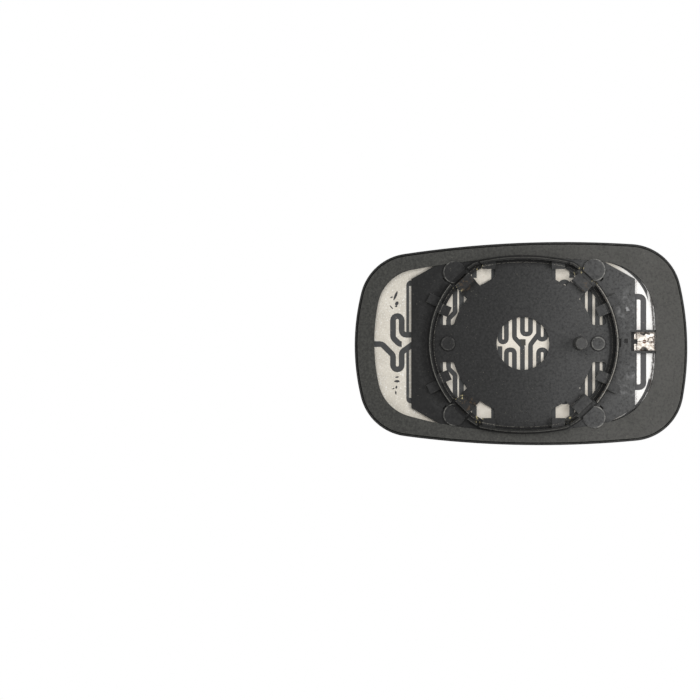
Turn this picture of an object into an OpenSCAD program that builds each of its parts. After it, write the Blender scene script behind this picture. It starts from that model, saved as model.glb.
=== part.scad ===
// Heated door mirror glass on its clip-on carrier.
// Everything is drawn as seen from behind: x to the right, y up, z out of the back.
// The origin is the centre of the snap ring, on the rear face of the carrier plate.

/* [Outline] */
// Distance from the ring centre to the narrow end
narrow_end = 85.1; // [82:0.1:92]
// Distance from the ring centre to the wide end
wide_end = 82.8; // [80:0.1:90]
// Distance from the ring centre to the top
top_end = 51.3; // [50:0.1:56]
// Distance from the ring centre to the bottom
bottom_end = 51.4; // [50:0.1:56]
// Radius of the crowned top edge
top_crown_r = 535; // [450:5:900]
// Radius of the crowned bottom edge
bottom_crown_r = 509; // [450:5:900]
// Radius of the crowned narrow end
narrow_crown_r = 110; // [100:1:180]
// Radius of the crowned wide end
wide_crown_r = 140; // [120:1:220]
// Place of the highest point along the top edge
top_crown_x = 20.4; // [5:0.1:30]
// Place of the lowest point along the bottom edge
bottom_crown_x = 8.6; // [0:0.1:20]
// Height of the outermost point of the narrow end
narrow_crown_y = -1.0; // [-5:0.1:5]
// Height of the outermost point of the wide end
wide_crown_y = -2.3; // [-5:0.1:5]
// Radius of the four corners
corner_r = 26.4; // [22:0.1:30]

/* [Layers] */
// Radius of the convex front of the glass
glass_r = 1400; // [1000:10:2000]
// Thickness of the glass
glass_t = 2.0; // [1.6:0.1:3]
// Thickness of the heater film
film_t = 0.3; // [0.2:0.05:0.6]
// Thickness of the heater track on the film
track_t = 0.1; // [0.05:0.05:0.3]
// Thickness of the carrier plate
plate_t = 1.8; // [1.4:0.1:2.6]
// Height of the band above the rear face of the plate
band_step = 0.6; // [0.3:0.1:1.2]
// Width of the black rim that shows round the glass
rim_w = 1.4; // [1:0.1:2.5]
// Drop of the rim's rear edge below the band
rim_step = 0.7; // [0.4:0.1:1.2]
// Gap between the glass and the rim
glass_gap = 0.1; // [0.05:0.05:0.3]
// Width of the groove between the rim and the band
groove_w = 0.5; // [0.3:0.1:0.7]
// Depth of that groove below the rim
groove_depth = 1.0; // [0.4:0.1:1.4]

/* [Band] */
// Width of the band at the narrow end
band_narrow = 9.9; // [8:0.1:14]
// Width of the band at the wide end
band_wide = 15.8; // [13:0.1:18]
// Width of the band at the top
band_top = 8.0; // [7:0.1:9]
// Width of the band at the bottom
band_bottom = 7.0; // [6:0.1:8]
// Radius of the band's inner edge at the top
opening_top_r = 319; // [250:1:450]
// Radius of the band's inner edge at the bottom
opening_bottom_r = 211; // [180:1:350]
// Radius of the band's inner edge at the narrow end
opening_narrow_r = 101; // [90:1:150]
// Radius of the band's inner edge at the wide end
opening_wide_r = 146; // [110:1:200]
// Place of the highest point of the band's inner edge
opening_top_x = 6.0; // [0:0.1:12]
// Place of the lowest point of the band's inner edge
opening_bottom_x = -1.0; // [-6:0.1:6]
// Height of the outermost point of the inner edge at the narrow end
opening_narrow_y = 0.7; // [-4:0.1:4]
// Height of the outermost point of the inner edge at the wide end
opening_wide_y = 2.5; // [-4:0.1:5]
// Corner radius of the inner edge at the narrow end
opening_narrow_corner_r = 21.4; // [18:0.1:26]
// Corner radius of the inner edge at the wide end
opening_wide_corner_r = 28.0; // [22:0.1:30]

/* [Centre plate] */
// Distance from the ring centre to the straight ends of the plate
plate_end = 56.5; // [54:0.1:58]
// Height at which the plate's ends turn into its sloping edges
plate_corner_y = 32.6; // [28:0.1:35]
// Slope of the plate's sloping edges
plate_slope = 29; // [22:0.5:34]
// Radius of the round hole in the middle
hole_r = 13.35; // [8:0.05:18]

/* [Snap ring] */
// Outer radius of the snap ring
ring_r = 47.6; // [46:0.1:49]
// Thickness of the ring's upper wall
ring_wall = 1.2; // [0.8:0.1:1.8]
// Height of the ring above the plate's rear face
ring_h = 7.0; // [5.6:0.1:10]
// Radius of the flattened top and bottom of the ring
ring_flat_r = 105; // [80:1:150]
// Width of the low shelf inside the ring wall
shelf_w = 1.4; // [1:0.1:2.4]
// Height of the shelf
shelf_h = 2.4; // [1:0.1:3.5]
// Direction of the slots that end the top and bottom walls
end_slot_angle = 61; // [58:0.5:66]
// Width of the slots that free the hooks
slot_w = 1.2; // [0.8:0.1:1.8]

/* [Snap hooks] */
// Direction of the hooks from the ring's long axis
hook_angle = 46; // [43:0.5:49]
// Width of a hook
hook_w = 9.4; // [8:0.1:10.4]
// Thickness of a hook's arm
hook_arm_t = 1.4; // [1:0.1:1.8]
// Distance from the ring centre to a hook's outer face
hook_face = 44.8; // [44.4:0.1:45.4]
// Distance from the ring centre to the tip of a nose
nose_tip = 39.5; // [38:0.1:41]
// Height of the top of a nose
nose_top = 5.0; // [4:0.1:5.4]
// Thickness of a nose
nose_t = 2.4; // [1.6:0.1:3]
// Size of the sloping lead on the tip of a nose
nose_lead = 0.8; // [0.3:0.1:1.2]

/* [Windows in the plate] */
// Inner radius of the long windows
window_in_r = 36.2; // [34:0.1:37.5]
// Outer radius of the long windows
window_out_r = 43.5; // [42:0.1:44]
// Half width of the solid web beside the ring's long axis
window_web_y = 9.35; // [7:0.05:12]
// Half width of the solid web beside the ring's short axis
window_web_x = 14.1; // [11:0.1:17]
// Radius of the rounded corners of the long windows
window_corner_r = 1.6; // [0.6:0.1:2.4]

/* [Lugs and pads] */
// Direction of the small lugs from the ring's long axis
lug_angle = 22.9; // [20:0.1:26]
// Width of a small lug
lug_w = 5.3; // [4:0.1:6.5]
// Distance from the ring centre to the tip of a small lug
lug_tip = 40.4; // [39:0.1:42]
// Height of the top of a lug
lug_top = 4.6; // [3.6:0.1:5]
// Thickness of a lug
lug_t = 2.2; // [1.4:0.1:2.8]
// Nearest edge of an end lug to the ring's short axis
end_lug_x = 14.2; // [12:0.1:15]
// Width of an end lug
end_lug_w = 6.6; // [5:0.1:7.5]
// Height of the lower edge of an end lug
end_lug_y = 37.6; // [36.5:0.1:38.5]
// Distance from the ring centre to the middle of a round pad towards the narrow end
pad_narrow_place = 50.0; // [49:0.1:51]
// Distance from the ring centre to the middle of a round pad towards the wide end
pad_wide_place = 51.6; // [51:0.1:52.4]
// Gap between a hook and the pad behind it towards the narrow end
pad_narrow_gap = 0.9; // [0.6:0.1:1.4]
// Gap between a hook and the pad behind it towards the wide end
pad_wide_gap = 2.6; // [1.6:0.1:3]
// Radius of a round pad
pad_r = 5.6; // [4.5:0.1:6]
// Height of a round pad
pad_h = 1.4; // [0.6:0.1:2]
// Direction of the ribs outside the ring
rib_angle = 25.9; // [24:0.1:28]
// Length of a rib outside the ring
rib_l = 5.6; // [4:0.1:6.5]
// Width of a rib outside the ring
rib_w = 4.8; // [3.5:0.1:6]
// Height of a rib outside the ring
rib_h = 2.6; // [1.5:0.1:4]

/* [Bosses and pin] */
// Distance from the ring centre to the low bosses
boss_x = 38.0; // [37:0.1:39]
// Radius of the low bosses
boss_r = 3.5; // [2.5:0.1:4]
// Height of the low bosses
boss_h = 1.4; // [0.8:0.1:2.5]
// Distance from the ring centre to the pin
pin_x = 28.7; // [26:0.1:30]
// Radius of the pin
pin_r = 3.0; // [2.5:0.1:3.8]
// Height of the pin
pin_h = 12; // [8:0.1:14]
// Size of the sloping lead on the tip of the pin
pin_lead = 0.6; // [0.2:0.1:1.2]
// Distance from the ring centre to the round moulding marks
mark_y = 36.9; // [36.6:0.1:37.2]
// Half the width of the oval moulding marks
mark_r = 3.8; // [3:0.1:4]
// Height of those marks over their width
mark_oval = 0.68; // [0.6:0.01:0.75]
// Depth of the moulding marks
mark_depth = 0.2; // [0.1:0.05:0.4]
// Width of the shallow step between the lower moulding mark and the ring
step_w = 10; // [6:0.1:12]
// Height of that step
step_h = 3.2; // [2:0.1:3.4]
// Gap between the moulding mark and that step
step_gap = 0.4; // [0.3:0.1:0.6]
// Place of the middle of the step
step_x = 0.8; // [-2:0.1:2]

/* [Terminal pocket] */
// Distance from the ring centre to the middle of the pocket
pocket_x = 60.9; // [59:0.1:62]
// Height of the middle of the pocket
pocket_y = 1.0; // [0:0.1:2]
// Length of the pocket
pocket_l = 12.6; // [11.6:0.1:13.4]
// Height of the pocket between its two ribs
pocket_w = 9.6; // [9.2:0.1:12]
// Width of the two ribs beside the pocket
pocket_rib = 1.1; // [0.8:0.1:2]

/* [Terminals] */
// Distance from the ring centre to the middle of the feet
foot_x = 61.4; // [61:0.1:61.8]
// Length of a terminal's foot
foot_l = 10.4; // [9.6:0.1:11]
// Gap between a foot and the heater that the solder fills
solder_gap = 0.05; // [0.03:0.01:0.15]
// Thickness of the terminal strip
strip_t = 0.8; // [0.5:0.1:1]
// Gap between the two feet
foot_gap = 0.2; // [0.15:0.05:0.8]
// Gap between a foot and the pocket's ribs
foot_clear = 0.15; // [0.1:0.05:0.4]
// Width of a terminal's blade
blade_w = 4.8; // [4:0.1:6.3]
// Size of the sloping corners of a blade
blade_lead = 0.9; // [0.3:0.1:1.5]
// Height of a blade above the heater
blade_h = 7.0; // [5:0.1:9]
// Radius of the round relief beside a blade
relief_r = 0.85; // [0.5:0.05:1.2]
// Radius of the round hole shared by the two feet
eye_r = 0.95; // [0.5:0.05:1.4]
// Length of the square notch at the inner end of the feet
notch_l = 1.7; // [1:0.1:2.2]
// Height of the square notch
notch_w = 2.4; // [1.6:0.1:3]

/* [Heater] */
// Margin of the film inside the glass edge
film_margin = 2.5; // [1:0.1:4]
// Width of the track
track_w = 2.4; // [1.8:0.1:2.6]
// Width of the track in the loops beside the plate
loop_w = 2.9; // [2.2:0.1:3.2]
// Height of the heater's long axis above the ring centre
heater_y = 0.8; // [0:0.1:2]
// Height of the inner bends above the heater's axis
bend_in = 4.0; // [3.5:0.1:5]
// Height of the outer bends above the heater's axis
bend_out = 30.4; // [26:0.1:31]
// Spacing of the five columns behind the middle hole
mid_pitch = 4.07; // [4:0.01:4.3]
// Place of the middle column
mid_x = -0.16; // [-0.5:0.01:0.5]
// Spacing of the columns towards the wide end
wide_pitch = 3.72; // [3.6:0.01:3.8]
// Spacing of the columns towards the narrow end
narrow_pitch = 3.25; // [3.1:0.01:3.3]
// Number of columns towards the wide end
wide_columns = 13; // [9:2:13]
// Height of the loop in the wide window above the axis
wide_loop = 22.9; // [18:0.1:24]
// Reach above and below the axis of the first four columns towards the narrow end
first_out = 28.2; // [24:0.1:28.6]
// Reach of the next two columns
next_out = 17.4; // [14:0.1:20]
// Sideways shift of the last of the eight columns near the axis
column_shift = 3.3; // [2:0.1:3.4]
// Height of the shift above the axis
shift_y = 11.7; // [10:0.1:20]
// Depth of the shift below the axis
shift_low_y = 13.4; // [10:0.1:20]
// Place of the first of the four far columns
far_x = -41.6; // [-42:0.1:-41.4]
// Spacing of the far columns
far_pitch = 4.57; // [4.4:0.01:4.6]
// Place of the first leg in the narrow window
leg_x = -61.3; // [-62:0.1:-61]
// Spacing of the two legs in the narrow window
leg_pitch = 4.4; // [4:0.1:4.8]
// Height of the loop of the legs above the axis
narrow_loop = 13.1; // [11:0.1:16]
// Depth of the loop of the legs below the axis
narrow_loop_low = 13.9; // [11:0.1:16]
// Height above the axis at which the legs and the far columns meet
leg_in = 3.6; // [2.6:0.1:4]
// Depth below the axis of the lower leg's inner corner
leg_low_in = 5.2; // [5:0.1:6]
// Depth of the stub and of the lead that end the legs below the axis
leg_end = 1.1; // [1:0.1:1.2]
// Size of the slanting corner of the stub
stub_slant = 3.2; // [2:0.1:4]
// Size of the slanting corner of the lead to the edge track
lead_slant = 5.6; // [4:0.1:7]
// Height above the axis of the link between the two columns right of the middle
link_y = 1.4; // [1:0.1:1.8]
// Reach above and below the axis of the slanting link through the middle
slant_y = 2.2; // [1.8:0.1:2.6]
// Width of the thin branch in the narrow window
thin_w = 1.4; // [0.8:0.1:1.8]
// Place of the thin branch
thin_x = -58.3; // [-58.6:0.1:-58.2]
// Side of the square joint in the middle
joint_pad = 3.2; // [2.6:0.1:3.6]
// Thickness of the bar from the thin branch to the far columns
thin_bar = 2.8; // [1.6:0.1:3.2]
// Width of the track round the edge
edge_track_w = 1.4; // [1:0.1:3]
// Gap between the edge track and the band's inner edge, seen from behind
edge_track_in = 0.4; // [0.2:0.1:1]
// Shift of the edge track towards the narrow end
edge_track_shift = 2.4; // [1.6:0.1:3]
// Gap in the edge track beside the terminals
edge_gap = 1.0; // [0.5:0.1:2]
// Distance from the axis to the ends of the short spurs of the edge track
spur_y = 32.4; // [31.8:0.1:34]

/* [Recesses] */
// Distance from the ring centre to the long recess beside the pocket
latch_x = 49.0; // [48.7:0.1:49.3]
// Width of the long recess
latch_w = 1.0; // [0.6:0.1:1.2]
// Length of the long recess
latch_l = 4.3; // [3:0.1:5]
// Distance from the ring centre to the short recess
catch_x = 52.0; // [51.6:0.1:52.6]
// Width of the short recess
catch_w = 1.8; // [1:0.1:2]
// Length of the short recess
catch_l = 2.3; // [1.5:0.1:3]
// Height of the upper ends of both recesses
latch_top = 2.5; // [1:0.1:3]
// Depth of both recesses
latch_depth = 0.5; // [0.2:0.1:1]
// Distance from the ring centre to a slanting slot, along the direction of the pad beside it
vent_place = 50.7; // [50.5:0.1:52]
// Gap between a slanting slot and the pad beside it
vent_gap = 0.15; // [0.1:0.05:0.4]
// Length of a slanting slot
vent_l = 2.2; // [1.4:0.1:2.6]
// Width of a slanting slot
vent_w = 0.8; // [0.6:0.1:1]
// Depth of a slanting slot
vent_depth = 1.1; // [0.5:0.1:1.3]

/* [Hidden] */
$fn = 96;
ball_fn = 256;
overlap = 0.3;
// Furthest that the straight steps along an arc lie inside it
sag = 0.01;
// Height above the plate up to which a recess is cut away
above = 1;
// Level inside the plate at which the raised features begin
root_z = -0.1;
// Half the depth of the block that a layer is cut from
reach = 20;
ring_top = top_end - band_top + overlap;
ring_bottom = bottom_end - band_bottom + overlap;
foot_w = (pocket_w - foot_gap) / 2 - foot_clear;
// Radius of the bends along the middle of a track and of a loop, and their largest step in degrees
bend_r = narrow_pitch / 2;
loop_r = leg_pitch / 2;
bend_step = 22.5;

// Levels are depths behind the front of the glass, measured along its radius
film_level = glass_t;
track_level = film_level + film_t;
seat_level = track_level + track_t;
plate_level = seat_level + plate_t;
band_level = plate_level + band_step;
rim_level = band_level - rim_step;
ball_z = glass_r - plate_level;

outline = [
    [[top_crown_x, top_end - top_crown_r], top_crown_r],
    [[wide_end - wide_crown_r, wide_crown_y], wide_crown_r],
    [[bottom_crown_x, bottom_crown_r - bottom_end], bottom_crown_r],
    [[narrow_crown_r - narrow_end, narrow_crown_y], narrow_crown_r]
];
outline_corners = [corner_r, corner_r, corner_r, corner_r];

opening = [
    [[opening_top_x, top_end - band_top - opening_top_r], opening_top_r],
    [[wide_end - band_wide - opening_wide_r, opening_wide_y], opening_wide_r],
    [[opening_bottom_x, opening_bottom_r - bottom_end + band_bottom], opening_bottom_r],
    [[opening_narrow_r - narrow_end + band_narrow, opening_narrow_y], opening_narrow_r]
];
opening_corners = [opening_wide_corner_r, opening_wide_corner_r, opening_narrow_corner_r,
    opening_narrow_corner_r];

corner_way = [[1, 1], [1, -1], [-1, -1], [-1, 1]];

// Turns the rear view into the part's own frame: glass towards -Y, up is +Z
module in_frame() {
    rotate([90, 0, 180]) children();
}

// Where two circles meet, on the side that the direction way points to
function meet(c, r, d, s, way) = let (
        v = d - c,
        l = norm(v),
        t = (r * r - s * s + l * l) / (2 * l),
        h = sqrt(r * r - t * t),
        n = [-v.y, v.x] / l,
        side = n * way > 0 ? 1 : -1
    ) c + v * t / l + n * h * side;

function corner_centre(a, b, r, way) = meet(a[0], a[1] - r, b[0], b[1] - r, way);

// The direction in which a point lies from a centre, in degrees
function heading(c, p) = atan2(p.y - c.y, p.x - c.x);

// Points along an arc from one direction through a turn, without the last one
function arc(c, r, from, turn) = let (
        n = max(1, ceil(abs(turn) * PI / 180 * r / sqrt(8 * r * sag)))
    ) [for (i = [0:n - 1]) let (a = from + turn * i / n) c + r * [cos(a), sin(a)]];

// The clockwise turn from one direction to another
function clockwise(from, to) = -((from - to + 720) % 360);

// Four crowned sides and their four rounded corners, all tangent, grown by the given amount
function crowned_points(sides, corners, grow) = let (
        centres = [for (i = [0:3]) corner_centre(sides[i], sides[(i + 1) % 4], corners[i], corner_way[i])]
    ) [for (i = [0:3]) let (
            side = sides[i],
            start = heading(side[0], centres[(i + 3) % 4]),
            bend = heading(side[0], centres[i]),
            end = heading(sides[(i + 1) % 4][0], centres[i])
        ) each concat(arc(side[0], side[1] + grow, start, clockwise(start, bend)),
            arc(centres[i], corners[i] + grow, bend, clockwise(bend, end)))];

module crowned(sides, corners, grow = 0) {
    polygon(crowned_points(sides, corners, grow));
}

// A ball whose poles lie away from the glass
module ball(level) {
    translate([0, 0, ball_z]) rotate([90, 0, 0]) sphere(glass_r - level, $fn = ball_fn);
}

// A curved sheet between two levels, with the outline of its children
module sheet_layer(front, rear) {
    intersection() {
        translate([0, 0, -reach]) linear_extrude(2 * reach) children();
        difference() {
            ball(front);
            ball(rear);
        }
    }
}

module mirror_glass() {
    color([0.62, 0.76, 0.95]) in_frame()
        sheet_layer(0, film_level) crowned(outline, outline_corners, -rim_w - glass_gap);
}

module heater_film() {
    color([0.86, 0.83, 0.78]) in_frame()
        sheet_layer(film_level, track_level) crowned(outline, outline_corners, -film_margin);
}

// Points of one long window: outer arc, web end, inner arc and web end, with rounded corners
function window_points() = let (
        c = window_corner_r,
        outer = window_out_r - c,
        inner = window_in_r + c,
        low = window_web_y + c,
        side = window_web_x + c,
        outer_low = [sqrt(outer * outer - low * low), low],
        outer_side = [side, sqrt(outer * outer - side * side)],
        inner_side = [side, sqrt(inner * inner - side * side)],
        inner_low = [sqrt(inner * inner - low * low), low],
        a = heading([0, 0], outer_low),
        b = heading([0, 0], outer_side),
        d = heading([0, 0], inner_side),
        e = heading([0, 0], inner_low)
    ) concat(
        arc(outer_low, c, -90, 90 + a),
        arc([0, 0], window_out_r, a, b - a),
        arc(outer_side, c, b, 180 - b),
        arc(inner_side, c, 180, d),
        arc([0, 0], window_in_r, d, e - d),
        arc(inner_low, c, 180 + e, 90 - e)
    );

// One copy in each quarter of the ring
module mirrored() {
    for (a = [0, 1], b = [0, 1]) mirror([a, 0, 0]) mirror([0, b, 0]) children();
}

// A prism from inside the plate up to a height above the ring centre
module raised(height) {
    translate([0, 0, root_z]) linear_extrude(height - root_z) children();
}

// A straight piece between two distances along a direction
module spoke(angle, from, to, width) {
    rotate(angle) translate([from, -width / 2]) square([to - from, width]);
}

module ring_outline(grow) {
    intersection() {
        circle(ring_r + grow);
        translate([0, ring_top - ring_flat_r]) circle(ring_flat_r + grow);
        translate([0, ring_flat_r - ring_bottom]) circle(ring_flat_r + grow);
    }
}

// The ring's cross-section from its outer face inwards, freed at the hooks and split beside them
module ring_section(width) {
    difference() {
        ring_outline(0);
        ring_outline(-width);
        mirrored() {
            spoke(hook_angle, window_out_r - overlap, ring_r + overlap, hook_w + 2 * slot_w);
            spoke(end_slot_angle, window_out_r - overlap, ring_r + overlap, slot_w);
        }
    }
}

// A solid with the given side profile, drawn as distance from the centre and height
module side_profile(points, angle, width) {
    rotate(angle) translate([0, width / 2, 0]) rotate([90, 0, 0]) linear_extrude(width) polygon(points);
}

module hook() {
    side_profile([
        [hook_face - hook_arm_t, root_z],
        [hook_face, root_z],
        [hook_face, nose_top],
        [nose_tip + nose_lead, nose_top],
        [nose_tip, nose_top - nose_lead],
        [nose_tip, nose_top - nose_t],
        [hook_face - hook_arm_t, nose_top - nose_t]
    ], hook_angle, hook_w);
}

// The lugs that stand in from the ring wall over the windows
module lugs() {
    intersection() {
        translate([0, 0, lug_top - lug_t]) linear_extrude(lug_t) mirrored() {
            spoke(lug_angle, lug_tip, ring_r, lug_w);
            translate([end_lug_x, end_lug_y]) square([end_lug_w, ring_r - end_lug_y]);
        }
        linear_extrude(ring_h) ring_outline(-ring_wall / 2);
    }
}

module snap_ring() {
    raised(ring_h) ring_section(ring_wall);
    raised(shelf_h) ring_section(ring_wall + shelf_w);
    mirrored() hook();
    lugs();
}

// A round pad behind a hook, cut straight so that the hook can spring back
module pad(place, gap) {
    intersection() {
        rotate(hook_angle) translate([place, 0]) circle(pad_r);
        spoke(hook_angle, hook_face + gap, place + 2 * pad_r, 2 * pad_r);
    }
}

module pads() {
    for (up = [0, 1]) mirror([0, up, 0]) {
        pad(pad_wide_place, pad_wide_gap);
        mirror([1, 0, 0]) pad(pad_narrow_place, pad_narrow_gap);
    }
}

module pin() {
    translate([pin_x, 0, root_z]) cylinder(r = pin_r, h = pin_h - pin_lead - root_z);
    translate([pin_x, 0, pin_h - pin_lead]) cylinder(r1 = pin_r, r2 = pin_r - pin_lead, h = pin_lead);
}

// The band's opening, closed by straight ends and sloping edges
module plate_outline() {
    peak = plate_corner_y + plate_end * tan(plate_slope);
    intersection() {
        crowned(opening, opening_corners, overlap);
        polygon([[0, peak], [plate_end, plate_corner_y], [plate_end, -plate_corner_y],
            [0, -peak], [-plate_end, -plate_corner_y], [-plate_end, plate_corner_y]]);
    }
}

module pocket_outline(grow) {
    translate([pocket_x - pocket_l / 2, pocket_y - pocket_w / 2 - grow])
        square([pocket_l + pocket_rib, pocket_w + 2 * grow]);
}

module plate_cuts() {
    mirrored() difference() {
        polygon(window_points());
        spoke(hook_angle, 0, nose_tip, hook_w);
    }
    circle(hole_r);
}

// A recess in the plate's rear face, with the outline of its children
module recess(depth) {
    sheet_layer(plate_level - depth, plate_level + above) children();
}

module plate_recesses() {
    recess(mark_depth) {
        for (way = [-1, 1]) translate([0, way * mark_y]) scale([1, mark_oval]) circle(mark_r);
        translate([step_x - step_w / 2, -mark_y - mark_r * mark_oval - step_gap - step_h])
            square([step_w, step_h]);
    }
    recess(latch_depth) {
        translate([latch_x - latch_w / 2, latch_top - latch_l]) square([latch_w, latch_l]);
        translate([catch_x - catch_w / 2, latch_top - catch_l]) square([catch_w, catch_l]);
    }
    recess(vent_depth) mirrored() rotate(hook_angle)
        translate([vent_place, -pad_r - vent_gap - vent_w / 2]) square([vent_l, vent_w], center = true);
}

module carrier_plate() {
    color([0.24, 0.24, 0.23]) in_frame() difference() {
        union() {
            sheet_layer(0, rim_level) difference() {
                crowned(outline, outline_corners);
                crowned(outline, outline_corners, groove_w - rim_w);
            }
            sheet_layer(0, rim_level - groove_depth) difference() {
                crowned(outline, outline_corners);
                crowned(outline, outline_corners, -rim_w);
            }
            sheet_layer(seat_level, band_level) difference() {
                crowned(outline, outline_corners, -rim_w);
                crowned(opening, opening_corners);
            }
            sheet_layer(seat_level, plate_level) difference() {
                union() {
                    plate_outline();
                    intersection() {
                        crowned(opening, opening_corners, overlap);
                        pocket_outline(pocket_rib);
                    }
                }
                pocket_outline(0);
            }
            sheet_layer(seat_level + plate_t / 2, plate_level + pad_h) pads();
            sheet_layer(seat_level + plate_t / 2, plate_level + rib_h)
                mirrored() spoke(rib_angle, ring_r - ring_wall / 2, ring_r + rib_l, rib_w);
            sheet_layer(seat_level + plate_t / 2, plate_level + boss_h)
                for (way = [-1, 1]) translate([way * boss_x, 0]) circle(boss_r);
            pin();
            snap_ring();
        }
        translate([0, 0, -reach]) linear_extrude(reach + 2) plate_cuts();
        plate_recesses();
    }
}

// Direction of a step from one point to the next, and the direction to its left
function along(a, b) = (b - a) / norm(b - a);
function left(u) = [-u.y, u.x];

// Points of one rounded bend of a path, moved sideways to the left
function bend(a, b, c, r, side) = let (
        u = along(a, b),
        v = along(b, c),
        turn = atan2(cross(u, v), u * v),
        way = sign(turn),
        centre = b - u * r * tan(abs(turn) / 2) + left(u) * r * way,
        start = atan2(u.y, u.x),
        n = max(1, ceil(abs(turn) / bend_step))
    ) [for (i = [0:n]) let (a = start + turn * i / n)
        centre - left([cos(a), sin(a)]) * way * (r - way * side)];

// One edge of a track along a path
function edge(path, r, side) = let (n = len(path)) concat(
        [path[0] + left(along(path[0], path[1])) * side],
        [for (i = [1:1:n - 2]) each bend(path[i - 1], path[i], path[i + 1], r, side)],
        [path[n - 1] + left(along(path[n - 2], path[n - 1])) * side]
    );

function backwards(list) = [for (i = [len(list) - 1:-1:0]) list[i]];

// A track of constant width along a path with rounded bends
module track(path, width = track_w, r = bend_r) {
    polygon(concat(edge(path, r, width / 2), backwards(edge(path, r, -width / 2))));
}

function mid_column(k) = mid_x + mid_pitch * k;
function wide_column(k) = mid_column(2) + wide_pitch * k;
function narrow_column(k) = mid_column(-2) - narrow_pitch * k;
function far_column(k) = far_x - far_pitch * k;

// A place in the heater: x, and the height above its axis
function at(x, level) = [x, heater_y + level];

// From the loop in the wide window through the zigzag to the first column
function wide_path(way) = concat(
        [at(wide_column(wide_columns), way * wide_loop)],
        [at(wide_column(wide_columns), way * bend_in)],
        [for (k = [wide_columns - 1:-1:2], end = [0, 1])
            at(wide_column(k), way * (k % 2 == end ? bend_in : bend_out))],
        [at(wide_column(1), way * bend_out)]
    );

// How far the columns towards the narrow end reach from the axis
function column_out(k) = k <= 4 ? first_out : k <= 6 ? next_out : bend_out;

// The zigzag from the first column towards the narrow end, with the shifted column, and the far columns
function narrow_path(way, shift) = concat(
        [at(narrow_column(1), way * first_out)],
        [for (k = [2:7], end = [0, 1])
            at(narrow_column(k), way * (k % 2 == end ? column_out(k) : bend_in))],
        [at(narrow_column(8), way * bend_out)],
        [at(narrow_column(8), way * (shift + column_shift))],
        [at(narrow_column(8) - column_shift, way * shift)],
        [at(narrow_column(8) - column_shift, way * bend_in), at(far_x, way * bend_in)],
        [for (k = [0:3], end = [0, 1]) if (k + end > 0 && k + end < 4)
            at(far_column(k), way * ((k + end) % 2 == 0 ? bend_in : bend_out))]
    );

// The pads under the terminals' feet, which reach to the inner end of the pocket
module foot_area(way) {
    y = pocket_y + way * (foot_gap + foot_w) / 2;
    track([[pocket_x - pocket_l / 2, y], [foot_x + foot_l / 2, y]], foot_w);
}

// The thin branch in the narrow window, and its bar to the far column's outer bend
module thin_branch(way) {
    bar_y = way * (bend_out - (thin_bar - thin_w / 2) / 2);
    track([at(thin_x, way * leg_in), at(thin_x, way * bend_out), at(far_column(3), way * bend_out)], thin_w);
    track([at(thin_x + thin_w / 2, bar_y), at(far_column(3), bar_y)], thin_bar - thin_w / 2);
}

// Bars from two heights above and below the heater's axis to the track round the edge
module feeder(x, from) {
    outer = edge_track_in + edge_track_w / 2;
    track([at(x, from), [x, ring_top + outer]]);
    track([at(x, -from), [x, -ring_bottom - outer]]);
}

module edge_track() {
    difference() {
        translate([-edge_track_shift, 0]) difference() {
            crowned(opening, opening_corners, edge_track_in + edge_track_w);
            crowned(opening, opening_corners, edge_track_in);
        }
        translate([pocket_x, pocket_y - edge_gap / 2]) square([wide_end - pocket_x, edge_gap]);
    }
}

// The loop in the wide window, from a terminal's pad to the last column
module wide_window_loop(way) {
    track([
        [pocket_x, pocket_y + way * (foot_gap + foot_w) / 2],
        at(pocket_x, way * wide_loop),
        at(wide_column(wide_columns) - track_w / 2, way * wide_loop)
    ], loop_w, loop_r);
}

module wide_half() {
    edge_y = ring_bottom + edge_track_in + edge_track_w / 2;
    for (way = [-1, 1]) wide_window_loop(way);
    track(concat(
        wide_path(1),
        [at(wide_column(1), link_y), at(mid_column(2), link_y)],
        [at(mid_column(2), bend_out), at(mid_column(1), bend_out)],
        [at(mid_column(1), bend_in), at(mid_column(0), bend_in)],
        [at(mid_column(0), bend_out), at(mid_column(-1), bend_out)],
        [at(mid_column(-1), slant_y), at(mid_column(0), -slant_y)],
        [at(mid_column(0), -bend_out), at(mid_column(-1), -bend_out)],
        [at(mid_column(-1), -bend_in), at(mid_column(-2), -bend_in)],
        [[mid_column(-2), -edge_y]]
    ));
    track(concat(
        wide_path(-1),
        [at(wide_column(1), -bend_in), at(mid_column(2), -bend_in)],
        [at(mid_column(2), -bend_out), at(mid_column(1), -bend_out)],
        [at(mid_column(1), -link_y), at(mid_column(2), bend_in), at(mid_column(2), 2 * bend_in)]
    ));
    track([at(mid_column(0), link_y), at(mid_column(0), link_y - joint_pad)], joint_pad);
}

module narrow_half() {
    edge_y = ring_top + edge_track_in + edge_track_w / 2;
    leg_2 = leg_x - leg_pitch;
    edge_x = band_narrow - narrow_end - edge_track_shift - edge_track_in;
    track(concat(
        [[mid_column(-2), edge_y], at(mid_column(-2), 0), at(narrow_column(1), 0)],
        narrow_path(1, shift_y),
        [at(far_column(3), leg_in)]
    ));
    track([
        at(far_column(3) + track_w / 2, leg_in),
        at(leg_x, leg_in),
        at(leg_x, narrow_loop),
        at(leg_2, narrow_loop),
        at(leg_2, stub_slant - leg_end),
        at(leg_2 + stub_slant, -leg_end),
        at(leg_x, -leg_end)
    ], loop_w, loop_r);
    track(concat(
        [at(narrow_column(1), -slant_y)],
        narrow_path(-1, shift_low_y),
        [at(far_column(3), -leg_end)]
    ));
    track([
        at(far_column(3) + track_w / 2, 0),
        at(leg_x, -leg_low_in),
        at(leg_x, -narrow_loop_low),
        at(leg_2, -narrow_loop_low),
        at(leg_2, -leg_end - lead_slant),
        at(leg_2 - lead_slant, -leg_end),
        at(edge_x, -leg_end)
    ], loop_w, loop_r);
}

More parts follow.
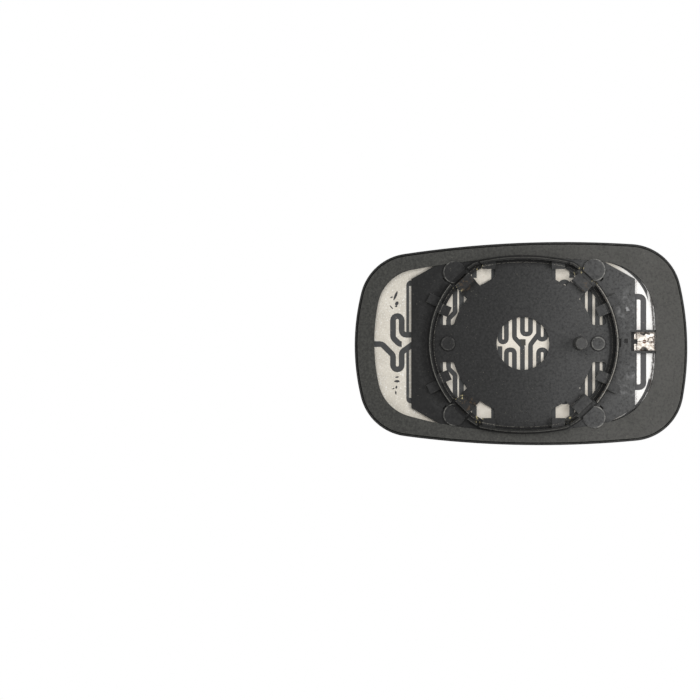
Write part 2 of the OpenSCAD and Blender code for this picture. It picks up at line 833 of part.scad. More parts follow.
module heater_track() {
    color([0.31, 0.33, 0.34]) in_frame() sheet_layer(track_level, seat_level) {
        wide_half();
        narrow_half();
        edge_track();
        for (way = [-1, 1]) foot_area(way);
        for (x = [wide_column(2), narrow_column(2)]) feeder(x, first_out);
        for (x = [wide_column(4.5), narrow_column(5)]) feeder(x, spur_y);
        for (way = [-1, 1]) thin_branch(way);
    }
}

// Moves a flat piece on to the curved sheet, square to it at the given distance from the ring centre
module seated(x, level) {
    translate([0, 0, ball_z]) rotate([0, -asin(x / (glass_r - level)), 0]) translate([0, 0, level - glass_r])
        children();
}

// One strip: a foot on the heater's pad and a blade folded up from its outer edge
module terminal(way) {
    side = way * (foot_gap / 2 + foot_w);
    end = way * (foot_l / 2 - blade_w);
    color([0.78, 0.77, 0.74]) in_frame() seated(foot_x, seat_level + solder_gap) {
        linear_extrude(strip_t) difference() {
            translate([-foot_l / 2, pocket_y + (side - way * foot_w / 2) - foot_w / 2]) square([foot_l, foot_w]);
            translate([-foot_l / 2 - overlap, pocket_y - notch_w / 2]) square([notch_l + overlap, notch_w]);
            translate([0, pocket_y]) circle(eye_r);
            translate([-end, pocket_y + side - way * strip_t]) circle(relief_r);
        }
        translate([0, pocket_y + side + (way < 0 ? strip_t : 0), 0]) rotate([90, 0, 0])
            linear_extrude(strip_t) polygon([
                [-way * foot_l / 2, 0],
                [-end, 0],
                [-end, blade_h - blade_lead],
                [-end - way * blade_lead, blade_h],
                [-way * (foot_l / 2 - blade_lead), blade_h],
                [-way * foot_l / 2, blade_h - blade_lead]
            ]);
    }
}

module terminal_upper() {
    terminal(1);
}

module terminal_lower() {
    terminal(-1);
}

mirror_glass();
heater_film();
heater_track();
carrier_plate();
terminal_upper();
terminal_lower();
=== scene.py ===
import math
import bpy
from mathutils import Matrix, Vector

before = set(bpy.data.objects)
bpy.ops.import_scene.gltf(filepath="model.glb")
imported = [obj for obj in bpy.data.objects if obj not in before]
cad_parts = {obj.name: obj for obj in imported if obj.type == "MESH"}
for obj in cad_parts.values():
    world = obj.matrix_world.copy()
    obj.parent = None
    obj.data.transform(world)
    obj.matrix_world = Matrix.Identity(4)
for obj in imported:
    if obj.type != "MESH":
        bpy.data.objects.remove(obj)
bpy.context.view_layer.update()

# The frame is metres with the glass towards -Y. Finishes use the rear view in millimetres, with x = -X,
# y = Z and z = Y, so that the wide end is at large x.
MM = 0.001
BALL_CENTRE = 1.3958
GLASS_RADIUS = 1.4

# The photograph: metres to a pixel, the pixel of the ring's centre, its width and the camera's distance
PHOTO_SCALE = 0.00050557
RING_PIXEL = (523.0, 343.5)
PHOTO_WIDTH = 700
CAMERA_DISTANCE = 1.35

# The whole outline: its ends and its size
NARROW_END = -85.0
OUTLINE_WIDTH = 168.0
OUTLINE_FOOT = -51.0
OUTLINE_HEIGHT = 102.0

# The snap ring's outer face: a round part and two flatter arcs
RING_RADIUS = 47.6
FLAT_RADIUS = 105.0
RING_TOP = 43.6
RING_BOTTOM = 44.7

# Heights over the plate: low tops of pads and bosses, where the ring's wall clears the plate, its crest
LOW_TOP = 1.4
WALL_FOOT = (1.6, 2.0)
SHELF_FOOT = (1.9, 2.2)
CREST = (6.8, 6.95)

# The bosses on both sides of the ring's centre and the pin between them: x and radius
BOSSES = ((-37.9, 3.4), (37.9, 3.4))
PIN = (28.7, 3.0)

# The pads behind the hooks: distance from the centre (negative towards the narrow end), width and
# strength of the painted highlight, a pale arc at their outer edge
PAD_HIGHLIGHT_ARCS = ((51.6, 0.24, 0.5), (-50.0, 0.2, 0.3))
PAD_ARC_RADIUS = 5.4
HOOK_ANGLE = 46.0

# The arc that ends the wide window, and the middle of the terminals' pocket
WIDE_OPENING_RADIUS = 146.0
WIDE_OPENING_X = 67.0
WIDE_OPENING_Y = 2.5
POCKET_Y = 1.0

# Places in millimetres of the rear view, each with a radius and the width of its soft edge
SMEARED = ((55.0, 17.0, 7.0, 6.0), (53.5, -19.0, 6.0, 5.0))
STAINED = ((-29.0, 30.0, 3.0, 1.5), (-27.5, -31.5, 3.4, 1.5), (31.0, 29.0, 2.0, 1.5))
FLASHED = (
    (-33.2, 26.6, 2.0, 1.2), (-32.6, -26.8, 2.0, 1.2), (24.6, 34.2, 1.6, 1.0), (29.4, 37.0, 1.4, 0.8),
    (35.9, 30.6, 1.4, 0.8), (-22.0, 37.6, 1.8, 1.0), (-22.6, -38.4, 1.8, 1.0), (22.6, -38.4, 1.6, 1.0),
)
GREY_STRIP = ((61.0, 30.5, 4.0, 1.5), (64.5, -23.5, 5.0, 1.5))
BURNS = ((64.9, 0.6, 0.35, 0.3), (63.2, 5.6, 0.6, 0.3), (59.4, -3.2, 0.4, 0.3))

FLOOR_HALF = 1.5
FLOOR_LEVEL = -0.42


def linear(red, green, blue):
    """The linear colour of an 8-bit sRGB colour, by the sRGB curve."""
    def channel(value):
        value /= 255
        return value / 12.92 if value <= 0.04045 else ((value + 0.055) / 1.055) ** 2.4
    return channel(red), channel(green), channel(blue), 1.0


class Value:
    """A socket with one number; sums, differences, products, ratios and powers of it add Math nodes."""

    def __init__(self, finish, socket):
        self.finish = finish
        self.socket = socket

    def __add__(self, other):
        return self.finish.math("ADD", self, other)

    def __radd__(self, other):
        return self.finish.math("ADD", other, self)

    def __sub__(self, other):
        return self.finish.math("SUBTRACT", self, other)

    def __rsub__(self, other):
        return self.finish.math("SUBTRACT", other, self)

    def __mul__(self, other):
        return self.finish.math("MULTIPLY", self, other)

    def __truediv__(self, other):
        return self.finish.math("DIVIDE", self, other)

    def __pow__(self, other):
        return self.finish.math("POWER", self, other)


class Finish:
    """A material and the nodes that make it."""

    def __init__(self, name):
        self.material = bpy.data.materials.new(name)
        self.material.use_nodes = True
        self.tree = self.material.node_tree
        self.tree.nodes.clear()
        self.output = self.tree.nodes.new("ShaderNodeOutputMaterial")
        self.place = self.node("ShaderNodeTexCoord").outputs["Object"]
        axes = self.node("ShaderNodeSeparateXYZ", values={"Vector": self.place}).outputs
        self.x = Value(self, axes["X"]) * (-1.0 / MM)
        self.y = Value(self, axes["Z"]) * (1.0 / MM)
        self.z = Value(self, axes["Y"]) * (1.0 / MM)

    def node(self, kind, settings=None, values=None):
        """Adds a node, sets its settings first, then gives its sockets their values or links."""
        node = self.tree.nodes.new(kind)
        for key, setting in (settings or {}).items():
            setattr(node, key, setting)
        for key, value in (values or {}).items():
            socket = node.inputs[key]
            if isinstance(value, Value):
                value = value.socket
            if isinstance(value, bpy.types.NodeSocket):
                self.tree.links.new(value, socket)
            else:
                socket.default_value = value
        return node

    def math(self, operation, *values):
        node = self.node("ShaderNodeMath", {"operation": operation}, dict(enumerate(values)))
        return Value(self, node.outputs[0])

    def vector(self, operation, *values):
        return self.node("ShaderNodeVectorMath", {"operation": operation}, dict(enumerate(values)))

    def noise(self, size_mm, detail=3.0, roughness=0.5, distortion=0.0, stretch=(1, 1, 1), seed=0.0):
        """Fractal noise from 0 to 1 whose lumps are about size_mm across."""
        scale = [axis / (size_mm * MM) for axis in stretch]
        mapped = self.node("ShaderNodeMapping", {}, {
            "Vector": self.place, "Scale": scale, "Location": (seed, seed * 0.7, -seed)}).outputs[0]
        node = self.node("ShaderNodeTexNoise", {}, {
            "Vector": mapped, "Scale": 1.0, "Detail": detail, "Roughness": roughness,
            "Distortion": distortion})
        return Value(self, node.outputs["Fac"])

    def step(self, value, low, high):
        """A smooth step from 0 at low to 1 at high."""
        node = self.node("ShaderNodeMapRange", {"interpolation_type": "SMOOTHSTEP"}, {
            "Value": value, "From Min": low, "From Max": high})
        return Value(self, node.outputs[0])

    def near(self, value, middle, half, soft):
        """1 within half of the middle, falling to 0 over soft."""
        distance = self.math("ABSOLUTE", value - middle)
        return 1.0 - self.step(distance, half, half + soft)

    def least(self, first, second):
        return self.math("MINIMUM", first, second)

    def away(self, x, y):
        """Distance in the rear view from a place."""
        return self.math("SQRT", (self.x - x) * (self.x - x) + (self.y - y) * (self.y - y))

    def spot(self, x, y, radius, soft, wobble=None):
        """1 inside a round spot of the rear view, with its edge moved by the wobble."""
        distance = self.away(x, y)
        if wobble is not None:
            distance = distance + wobble
        return 1.0 - self.step(distance, radius, radius + soft)

    def spots(self, places, wobble=None):
        """The sum of round spots, each with its x, y, radius and soft edge."""
        total = self.spot(*places[0], wobble)
        for place in places[1:]:
            total = total + self.spot(*place, wobble)
        return total

    def mix(self, factor, first, second):
        node = self.node("ShaderNodeMix", {"data_type": "RGBA"}, {0: factor, 6: first, 7: second})
        return node.outputs[2]

    def edge(self, reach_mm):
        """About 1 on edges and 0 on flat places: how far the normal, rounded over the reach, has turned."""
        rounded = self.node("ShaderNodeBevel", {"samples": 6}, {"Radius": reach_mm * MM}).outputs[0]
        true = self.node("ShaderNodeNewGeometry").outputs["True Normal"]
        return 1.0 - Value(self, self.vector("DOT_PRODUCT", rounded, true).outputs["Value"])

    def level(self):
        """Depth behind the front of the glass in millimetres: its radius less the distance to its centre."""
        distance = self.vector("DISTANCE", self.place, (0.0, BALL_CENTRE, 0.0)).outputs["Value"]
        return (GLASS_RADIUS - Value(self, distance)) * (1.0 / MM)

    def shader(self, values, bump=None, bevel_mm=0.0):
        """The surface: one glossy shader, with a bump in metres and softened edges."""
        normal = None
        if bevel_mm:
            normal = self.node("ShaderNodeBevel", {"samples": 4}, {"Radius": bevel_mm * MM}).outputs[0]
        if bump is not None:
            given = {"Height": bump, "Distance": 1.0, "Strength": 1.0}
            if normal is not None:
                given["Normal"] = normal
            normal = self.node("ShaderNodeBump", {}, given).outputs[0]
        if normal is not None:
            values = dict(values, Normal=normal)
        surface = self.node("ShaderNodeBsdfPrincipled", {}, values).outputs[0]
        self.tree.links.new(surface, self.output.inputs["Surface"])
        return self.material


def ring_depth(f):
    """Depth inside the snap ring's outer face: the least of its radius and its two flat arcs' radii, each
    less the distance to that arc's centre."""
    round_side = RING_RADIUS - f.away(0.0, 0.0)
    upper = FLAT_RADIUS - f.away(0.0, RING_TOP - FLAT_RADIUS)
    lower = FLAT_RADIUS - f.away(0.0, FLAT_RADIUS - RING_BOTTOM)
    return f.least(round_side, f.least(upper, lower))


def carrier_finish():
    """Black moulding: a matt greyish band and a darker plate, both painted paler towards the wide window as a
    painted sheen, with dust there too, and a snap ring painted nearly black as painted shade, with rubbed
    edges, painted glints, crumbs of flash and brown stains."""
    f = Finish("carrier_moulding")
    level = f.level()
    depth = ring_depth(f)
    radius = f.away(0.0, 0.0)
    band = f.step(level, 4.3, 4.7) * (1.0 - f.step(level, 4.95, 5.1)) * f.step(radius, 42.0, 43.0)
    grain = f.noise(0.35, 4.0, 0.65)
    cloud = f.noise(14.0, 4.0, 0.6)
    fine = f.noise(1.2, 3.0, 0.6, seed=4.0)
    crumb = f.noise(0.55, 2.0, 0.5, seed=21.0)
    # How far towards the wide window, squared: it weights the painted sheen there, and many other marks
    right = f.step(f.x, -50.0, 60.0) ** 2.0

    # Painted sheen: the plate is painted paler towards the wide window, where the light falls, with dust
    # grains and mottle painted stronger there
    plate = f.mix(right, linear(22, 22, 22), linear(74, 74, 74))
    plate = f.mix(f.step(cloud, 0.35, 0.75) * 0.35, plate, linear(34, 34, 34))
    mottle = f.noise(1.3, 5.0, 0.8, seed=41.0)
    plate = f.mix(f.step(mottle, 0.36, 0.66) * (0.16 + right * 0.42), plate, linear(88, 88, 87))
    plate = f.mix((1.0 - f.step(mottle, 0.34, 0.5)) * (0.2 + right * 0.4), plate, linear(26, 26, 26))
    dust_and_sheen = f.step(grain, 0.52, 0.82) * (0.1 + right * 0.35)
    plate = f.mix(dust_and_sheen, plate, linear(92, 92, 91))

    # The band, matt and a little warmer, painted paler towards the wide end as a painted sheen of the light
    # from that side
    frame_tone = f.mix(f.step(f.x, -85.0, 83.0), linear(48, 48, 46), linear(76, 75, 73))
    frame_tone = f.mix(f.step(cloud, 0.3, 0.8) * 0.4, frame_tone, linear(54, 54, 51))
    frame_tone = f.mix(f.step(mottle, 0.4, 0.66) * 0.4, frame_tone, linear(88, 88, 83))
    frame_tone = f.mix((1.0 - f.step(mottle, 0.34, 0.5)) * 0.36, frame_tone, linear(40, 40, 38))
    colour = f.mix(band, plate, frame_tone)

    # The lip round the outside is painted darker than the band: painted shade of its edge
    outermost = f.math("MAXIMUM", f.step(radius, 66.0, 67.0), f.step(f.math("ABSOLUTE", f.y), 46.0, 46.5))
    lip = outermost * (1.0 - f.step(level, 4.2, 4.4))
    colour = f.mix(lip * 0.8, colour, linear(34, 34, 33))

    # Smears towards the wide window, in two patches, and one pale chip
    low = 1.0 - f.step(level, 4.25, 4.4)
    smear = f.step(f.noise(3.0, 6.0, 0.78, 0.4, seed=9.0), 0.46, 0.72) * f.least(f.spots(SMEARED), 1.0) * low
    smear = smear * f.step(radius, 48.6, 49.6)
    colour = f.mix(smear * 0.5, colour, linear(146, 146, 146))
    chip = f.spot(52.8, 17.2, 0.7, 0.6, (fine - 0.45) * 4.0)
    colour = f.mix(chip * 0.5, colour, linear(190, 190, 190))

    # What stands over the plate is darker, its low tops painted darker towards the narrow end as painted
    # shade, and the ring painted nearly black under its crest as painted shade
    shaded_low_tops = f.near(f.z, LOW_TOP, 0.25, 0.1) * (1.0 - right) * (1.0 - band)
    colour = f.mix(shaded_low_tops * 0.55, colour, linear(16, 16, 16))
    raised = f.step(f.z, 3.2, 3.6) * (1.0 - band)
    colour = f.mix(raised * 0.3, colour, linear(34, 34, 34))
    # Painted shade: the ring's wall sides and the shelf inside it are painted nearly black where the wall's
    # shadow falls, and the crest is kept dark outside the plate's painted sheen
    wall = f.near(depth, 0.6, 0.7, 0.1)
    side = wall * f.step(f.z, *WALL_FOOT) * (1.0 - f.step(f.z, *CREST))
    shelf_shade = f.near(depth, 2.1, 0.9, 0.3) * f.step(f.z, *SHELF_FOOT) * (1.0 - f.step(f.z, 2.6, 3.0))
    colour = f.mix(side * 0.92 + shelf_shade * 0.95, colour, linear(10, 10, 10))
    crest = wall * f.step(f.z, *CREST)
    colour = f.mix(crest, colour, f.mix(right, linear(20, 20, 19), linear(32, 31, 30)))
    beside = f.step(f.math("ABSOLUTE", f.y), 28.0, 38.0)
    # Painted highlight: a broken pale line along the crest's outer edge, where it catches the light
    line = f.near(depth, 0.22, 0.12, 0.14) * crest * (1.0 - beside * 0.7)
    fleck = f.noise(0.3, 3.0, 0.7, seed=19.0)
    colour = f.mix(line * (0.35 + right * 0.3) * f.step(crumb, 0.3, 0.5), colour, linear(138, 136, 130))
    # Rubbed wear and painted glints: pale specks along the crest, stronger towards the wide end where the
    # light falls
    rubbed_and_glints = f.near(depth, 0.2, 0.25, 0.25) * crest * f.step(fleck, 0.46, 0.6)
    rubbed_and_glints = rubbed_and_glints * (0.15 + right * 0.6) * (1.0 - beside * 0.8)
    colour = f.mix(rubbed_and_glints, colour, linear(176, 173, 164))
    brown = crest * f.step(crumb, 0.6, 0.68) * right * (1.0 - beside)
    colour = f.mix(brown * 0.6, colour, linear(96, 80, 66))
    # Burr and painted highlight: a broken pale line where the shelf's inner edge catches the light
    shelf_burr_and_glints = f.near(depth, 2.6, 0.16, 0.1) * f.step(crumb, 0.46, 0.58) * f.step(f.z, *SHELF_FOOT)
    colour = f.mix(shelf_burr_and_glints * (0.7 - right * 0.4), colour, linear(140, 136, 128))
    # Painted shade at the ring's foot: a dark line just outside the wall, and towards the wide end a band
    # inside it where the wall's shadow falls
    ring_foot_shade = f.near(depth, -0.45, 0.45, 0.35) + f.near(depth, 3.0, 0.5, 0.7) * right
    ring_foot_shade = ring_foot_shade * (1.0 - f.step(f.z, *WALL_FOOT))
    colour = f.mix(ring_foot_shade * 0.8, colour, linear(16, 16, 16))

    # Painted highlights: thin pale arcs at the pads' outer edges, where they catch the light
    turned = math.radians(HOOK_ANGLE)
    for place, width, share in PAD_HIGHLIGHT_ARCS:
        for up in (1, -1):
            x, y = place * math.cos(turned), up * abs(place) * math.sin(turned)
            rim = f.near(f.away(x, y), PAD_ARC_RADIUS, width, 0.15) * f.step(f.z, 1.1, 1.3)
            rim = rim * f.step(f.math("ABSOLUTE", f.x) - abs(x), -1.0, 1.5) * f.step(fine, 0.35, 0.6)
            colour = f.mix(rim * share, colour, linear(168, 166, 160))

    # Round bosses and the pin: a painted highlight on the top's rim, painted shade as a dark ring at the
    # foot, and the pin's top painted paler as if lit
    for x, size in (*BOSSES, PIN):
        from_middle = f.away(x, 0.0)
        rim = f.near(from_middle, size - 0.3, 0.2, 0.15) * f.step(f.z, 1.0, 1.3) * f.step(fine, 0.35, 0.6)
        boss_foot_shade = f.near(from_middle, size + 0.3, 0.25, 0.2) * (1.0 - f.step(f.z, 1.0, 1.3))
        colour = f.mix(rim * (0.1 + right * 0.35), colour, linear(160, 158, 152))
        colour = f.mix(boss_foot_shade * 0.6, colour, linear(18, 18, 18))
    lit_pin_top = f.spot(PIN[0], 0.0, 2.6, 0.3) * f.step(f.z, 10.0, 11.0)
    colour = f.mix(lit_pin_top * 0.5, colour, linear(80, 79, 78))

    # Brown stains on the hooks towards the narrow end, and pale flash in the slots
    stain = f.step(f.noise(1.5, 3.0, 0.6, seed=13.0), 0.5, 0.66)
    colour = f.mix(f.least(f.spots(STAINED), 1.0) * stain * 0.35, colour, linear(104, 84, 62))
    flash = f.step(f.noise(0.8, 2.0, 0.5, stretch=(1, 1, 0.5), seed=17.0), 0.6, 0.68)
    colour = f.mix(f.least(f.spots(FLASHED), 1.0) * flash * 0.8, colour, linear(196, 184, 140))

    # Painted highlights on the edges, here and there and more towards the wide end, and painted shade on the
    # walls and grooves below the plate
    worn = f.step(f.edge(0.35), 0.04, 0.3) * f.step(f.noise(1.8, 4.0, 0.7, seed=33.0), 0.42, 0.62)
    colour = f.mix(worn * (0.36 + right * 0.3) * (1.0 - side), colour, linear(150, 149, 144))
    # Painted shade: walls and grooves that sink below the plate are painted dark
    deep_shade = 1.0 - f.step(level, 3.6, 4.0)
    colour = f.mix(deep_shade * 0.85, colour, linear(12, 12, 12))

    # Specks of dust all over
    specks = f.step(f.noise(0.7, 2.0, 0.5, seed=27.0), 0.70, 0.76)
    colour = f.mix(specks * 0.3, colour, linear(150, 146, 132))
    rough = 0.54 - smear * 0.12 + (fine - 0.5) * 0.12 + band * 0.08
    bump = (grain - 0.5) * (0.06 * MM) + (fine - 0.5) * (0.04 * MM)
    look = {"Base Color": colour, "Roughness": rough, "IOR": 1.45, "Specular IOR Level": 0.2}
    return f.shader(look, bump, bevel_mm=0.2)


# Torn pits in the film: place, length and width in millimetres, and how far each is turned in degrees
FILM_PITS = [
    (-64.4, 24.2, 4.6, 1.1, 68), (-66.4, 23.4, 1.4, 0.6, 20), (-63.8, 20.2, 2.0, 1.6, 60),
    (-64.1, 18.8, 1.2, 0.8, 0), (-66.5, 18.3, 2.4, 0.5, 130), (-63.7, -17.0, 1.8, 0.7, 10),
    (-63.7, -19.1, 2.5, 1.1, 0), (-64.0, -22.1, 1.5, 0.9, 80), (-65.5, -22.8, 1.2, 0.5, 20),
    (-64.3, -24.9, 1.8, 0.7, 100),
]


def wide_opening_depth(f):
    """Depth inside the round end of the wide window, in millimetres."""
    return WIDE_OPENING_RADIUS - f.away(WIDE_OPENING_X - WIDE_OPENING_RADIUS, WIDE_OPENING_Y)


def torn_line(f, outside):
    """The brown-black torn line that runs just inside the wide window's round end."""
    wobble = (f.noise(1.4, 4.0, 0.75, seed=61.0) - 0.5) * 2.4
    broken = f.step(f.noise(1.1, 3.0, 0.7, seed=67.0), 0.34, 0.46)
    return f.near(outside + wobble, 0.8, 0.4, 0.25) * broken * f.step(f.x, 50.0, 52.0)


def pitted(f, wobble):
    """Where the film is torn: inside any of the pits, each a round spot stretched along its length."""
    total = None
    for x, y, length, width, turn in FILM_PITS:
        across, up = f.x - x, f.y - y
        turn = math.radians(turn)
        along = (across * math.cos(turn) + up * math.sin(turn)) * (2.0 / length)
        beside = (up * math.cos(turn) - across * math.sin(turn)) * (2.0 / width)
        inside = 1.0 - f.step(along ** 2.0 + beside ** 2.0 + wobble, 0.9, 1.25)
        total = inside if total is None else f.math("MAXIMUM", total, inside)
    return total


def film_finish():
    """Cream film: grainy and greyer in the narrow window, nearly white in the wide one, with torn pits."""
    f = Finish("heater_film_cream")
    fibre = f.noise(0.7, 4.0, 0.7)
    cloud = f.noise(9.0, 3.0, 0.55, seed=3.0)
    narrow = 1.0 - f.step(f.x, -54.0, -50.0)
    plain = f.mix(f.step(cloud, 0.3, 0.75), linear(222, 216, 205), linear(200, 193, 180))
    plain = f.mix(f.step(f.x, 45.0, 55.0), plain, linear(250, 249, 246))
    grey = f.mix(f.step(cloud, 0.3, 0.75), linear(212, 206, 194), linear(196, 190, 178))
    colour = f.mix(narrow, plain, grey)
    colour = f.mix(f.step(fibre, 0.48, 0.74) * (0.25 + narrow * 0.4), colour, linear(164, 160, 150))
    dark = f.step(f.noise(0.9, 4.0, 0.75, seed=51.0), 0.56, 0.72) * narrow
    colour = f.mix(dark * 0.45, colour, linear(150, 145, 135))
    shine = f.step(f.noise(0.8, 3.0, 0.65, seed=6.0), 0.55, 0.68) * narrow
    colour = f.mix(shine * 0.7, colour, linear(240, 240, 236))
    pink = f.step(f.noise(1.6, 3.0, 0.6, seed=31.0), 0.6, 0.74) * (1.0 - narrow)
    colour = f.mix(pink * 0.3, colour, linear(214, 178, 170))
    torn = pitted(f, (fibre - 0.5) * 2.2)
    colour = f.mix(torn, colour, linear(58, 58, 60))
    colour = f.mix(torn_line(f, wide_opening_depth(f)) * 0.85, colour, linear(56, 46, 40))
    beside_plate = f.near(f.x, 57.4, 0.25, 0.2) * f.step(fibre, 0.48, 0.58)
    colour = f.mix(beside_plate * 0.5, colour, linear(120, 86, 74))
    between_feet = f.near(f.x, 56.4, 3.0, 0.4) * f.near(f.y, POCKET_Y, 1.6, 0.3)
    colour = f.mix(between_feet, colour, linear(22, 22, 22))
    rough = 0.5 + torn * 0.2
    bump = (fibre - 0.5) * (0.04 * MM) - torn * (0.15 * MM)
    return f.shader({"Base Color": colour, "Roughness": rough, "Specular IOR Level": 0.3}, bump)


def track_finish():
    """Dark grey printed conductor: faint streaks along it, a worn lighter skin and a few bare flecks."""
    f = Finish("heater_track_print")
    streak = f.noise(0.5, 3.0, 0.6, stretch=(1, 1, 0.08))
    fleck = f.noise(0.9, 3.0, 0.65, seed=7.0)
    worn = f.noise(3.0, 4.0, 0.65, seed=15.0)
    middle = 1.0 - f.step(f.away(0.0, 0.0), 14.0, 16.0)
    colour = f.mix(f.step(f.x, 45.0, 55.0), linear(44, 45, 45), linear(74, 73, 73))
    colour = f.mix(f.step(streak, 0.3, 0.7) * 0.5, colour, linear(54, 56, 57))
    colour = f.mix(f.step(worn, 0.55, 0.8) * 0.4, colour, linear(90, 91, 90))
    colour = f.mix(f.step(fleck, 0.66, 0.72) * (0.25 + middle * 0.55), colour, linear(206, 186, 176))
    pocket = f.near(f.y, POCKET_Y, 4.9, 0.2)
    colour = f.mix(f.near(f.x, 55.4, 2.2, 0.3) * pocket, colour, linear(14, 14, 14))

    # The strip beside the band shows grey only in patches: elsewhere film colour covers it, with a dark line
    outside = wide_opening_depth(f)
    strip = (1.0 - f.step(outside, 2.2, 2.5)) * f.step(f.x, 57.0, 58.0) * (1.0 - pocket)
    colour = f.mix(strip * (1.0 - f.least(f.spots(GREY_STRIP), 1.0)), colour, linear(250, 249, 246))
    colour = f.mix(torn_line(f, outside) * 0.85, colour, linear(56, 46, 40))

    # A dark square stain where two tracks meet at the middle, and solder between the terminals' feet
    square = f.near(f.x, 0.4, 1.3, 0.25) * f.near(f.y, 0.4, 1.5, 0.25)
    colour = f.mix(square * 0.85, colour, linear(50, 48, 42))
    solder = f.spot(61.3, 1.1, 1.2, 0.3)
    colour = f.mix(solder, colour, linear(118, 84, 66))
    bump = (streak - 0.5) * (0.02 * MM)
    return f.shader({"Base Color": colour, "Roughness": 0.42, "Specular IOR Level": 0.35}, bump)


def terminal_finish():
    """Tinned strip: bright metal with dull patches, brown solder stains, a painted shadow beside the upper
    blade and a dark blob.
    """
    f = Finish("terminal_tin")
    dull = f.noise(1.6, 4.0, 0.6)
    scratch = f.noise(0.3, 3.0, 0.7, stretch=(1, 1, 0.2), seed=2.0)
    colour = f.mix(f.step(dull, 0.36, 0.64), linear(244, 238, 230), linear(186, 176, 164))
    brown = f.step(f.noise(1.1, 3.0, 0.65, seed=13.0), 0.56, 0.66)
    colour = f.mix(brown * 0.75, colour, linear(112, 88, 70))
    drift = (f.noise(0.9, 3.0, 0.7, seed=43.0) - 0.5) * 2.4
    burn = f.near(f.away(64.5, 1.6) + drift, 1.3, 0.25, 0.25) + f.spots(BURNS, drift)
    colour = f.mix(f.least(burn, 1.0) * 0.85, colour, linear(74, 56, 44))
    # Painted shadow: a dark wavy line beside the upper blade, where it is bent up, and a dark blob
    wave = f.math("SINE", f.x * 1.9) * 0.25
    blade_shadow = f.near(f.y + wave, 4.95, 0.28, 0.15) * f.near(f.x, 61.3, 2.7, 0.4)
    blob = f.spot(61.0, -2.9, 1.2, 0.5, (dull - 0.5) * 1.5)
    colour = f.mix(f.least(blade_shadow + blob, 1.0) * 0.85, colour, linear(36, 30, 26))
    ragged = (f.noise(0.7, 3.0, 0.7, seed=71.0) - 0.5) * 1.8
    rim = f.near(f.x + ragged, 66.4, 0.3, 0.2) + f.near(f.y + ragged, -3.5, 0.25, 0.2)
    rim = rim + f.near(f.y + ragged, 5.3, 0.25, 0.2) + f.near(f.x + ragged, 57.4, 0.25, 0.2)
    colour = f.mix(f.least(rim, 1.0) * 0.75, colour, linear(46, 36, 30))
    rough = 0.34 + (dull - 0.5) * 0.3 + brown * 0.2
    metallic = 0.75 - brown * 0.5
    bump = (scratch - 0.5) * (0.02 * MM)
    return f.shader({"Base Color": colour, "Metallic": metallic, "Roughness": rough}, bump, bevel_mm=0.1)


def glass_finish():
    """Blue-tinted mirror with a painted reflection: its colour pales from the wide end's top towards the
    narrow end's foot.
    """
    f = Finish("mirror_glass_blue")
    # Painted reflection: deep blue at the wide end's top, paler towards the narrow end's foot
    across = (f.x - NARROW_END) / OUTLINE_WIDTH * 0.6 + (f.y - OUTLINE_FOOT) / OUTLINE_HEIGHT * 0.4
    colour = f.mix(f.step(across, 0.16, 1.0), linear(205, 225, 250), linear(124, 170, 248))
    return f.shader({"Base Color": colour, "Metallic": 1.0, "Roughness": 0.05})


def give(node, material):
    """Puts a finish on a carried-over node."""
    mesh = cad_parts[node].data
    mesh.materials.clear()
    mesh.materials.append(material)


give("carrier_plate", carrier_finish())
give("heater_film", film_finish())
give("heater_track", track_finish())
give("mirror_glass", glass_finish())
TIN = terminal_finish()
give("terminal_upper", TIN)
give("terminal_lower", TIN)


def white_to_camera(tree, light):
    """Shows plain white to camera, glossy and transmission rays, and the given light to all others."""
    path = tree.nodes.new("ShaderNodeLightPath")
    seen = path.outputs["Is Camera Ray"]
    for ray in ("Is Glossy Ray", "Is Transmission Ray"):
        either = tree.nodes.new("ShaderNodeMath")
        either.operation = "MAXIMUM"
        tree.links.new(seen, either.inputs[0])
        tree.links.new(path.outputs[ray], either.inputs[1])
        seen = either.outputs[0]
    white = tree.nodes.new("ShaderNodeBackground")
    white.inputs["Color"].default_value = (1, 1, 1, 1)
    white.inputs["Strength"].default_value = 1.0
    mix = tree.nodes.new("ShaderNodeMixShader")
    tree.links.new(seen, mix.inputs[0])
    tree.links.new(light, mix.inputs[1])
    tree.links.new(white.outputs[0], mix.inputs[2])
    return mix.outputs[0]


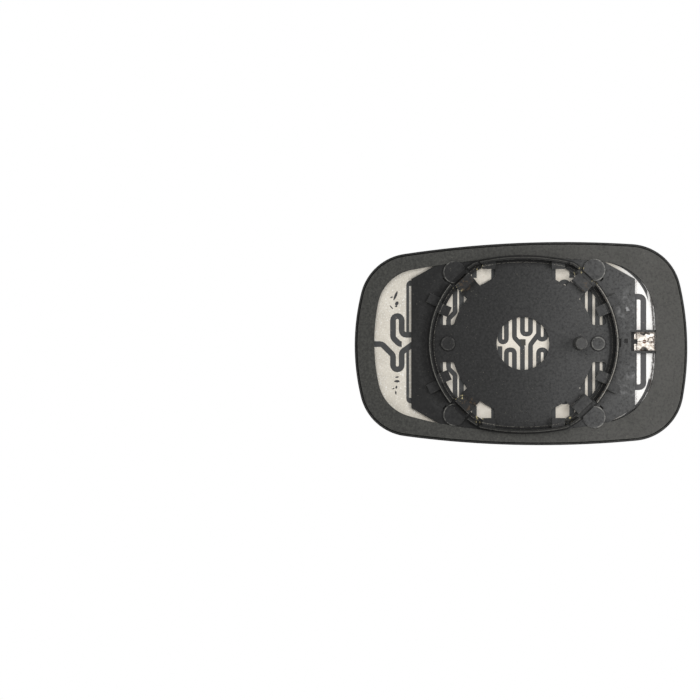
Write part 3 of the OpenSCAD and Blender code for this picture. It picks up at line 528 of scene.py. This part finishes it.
def light_world(strength):
    """White light of the given strength from all round, before a white backdrop."""
    world = bpy.data.worlds.new("studio")
    world.use_nodes = True
    tree = world.node_tree
    tree.nodes.clear()
    output = tree.nodes.new("ShaderNodeOutputWorld")
    sky = tree.nodes.new("ShaderNodeBackground")
    sky.inputs["Color"].default_value = (1, 1, 1, 1)
    sky.inputs["Strength"].default_value = strength
    tree.links.new(white_to_camera(tree, sky.outputs[0]), output.inputs["Surface"])
    bpy.context.scene.world = world


def area_light(name, place, side, power):
    """A square light of the given side in metres and power in watts, aimed at the origin."""
    data = bpy.data.lights.new(name, "AREA")
    data.shape = "SQUARE"
    data.size = side
    data.energy = power
    light = bpy.data.objects.new(name, data)
    light.location = place
    light.rotation_euler = (-Vector(place)).to_track_quat("-Z", "Y").to_euler()
    bpy.context.scene.collection.objects.link(light)


def floor():
    """A plain pale square below the part, facing up."""
    mesh = bpy.data.meshes.new("studio_floor")
    corners = [(-1, -1), (1, -1), (1, 1), (-1, 1)]
    mesh.from_pydata([(x * FLOOR_HALF, y * FLOOR_HALF, FLOOR_LEVEL) for x, y in corners], [], [(0, 1, 2, 3)])
    ground = bpy.data.objects.new("studio_floor", mesh)
    bpy.context.scene.collection.objects.link(ground)
    material = bpy.data.materials.new("pale_floor")
    material.use_nodes = True
    tree = material.node_tree
    tree.nodes["Principled BSDF"].inputs["Base Color"].default_value = linear(244, 244, 244)
    tree.nodes["Principled BSDF"].inputs["Roughness"].default_value = 0.9
    mesh.materials.append(material)


def photo_camera(distance):
    """Looks at the back along -Y, so that the ring's centre falls on its pixel at the photograph's scale."""
    data = bpy.data.cameras.new("photo_camera")
    data.sensor_width = 36.0
    data.lens = data.sensor_width * distance / (PHOTO_WIDTH * PHOTO_SCALE)
    camera = bpy.data.objects.new("photo_camera", data)
    right, up = ((pixel - PHOTO_WIDTH / 2) * PHOTO_SCALE for pixel in RING_PIXEL)
    camera.location = (right, distance, up)
    camera.rotation_euler = (math.pi / 2, 0, math.pi)
    data.clip_start, data.clip_end = 0.1, 50.0
    bpy.context.scene.collection.objects.link(camera)
    bpy.context.scene.camera = camera


light_world(0.46)
area_light("key", (-0.35, 0.5, 0.03), side=0.28, power=1.7)
area_light("fill", (0.35, 1.2, 0.5), side=0.5, power=5.0)
area_light("front_key", (-0.6, -0.9, 0.7), side=0.6, power=8.0)
floor()
photo_camera(CAMERA_DISTANCE)
bpy.context.scene.view_settings.view_transform = "Standard"
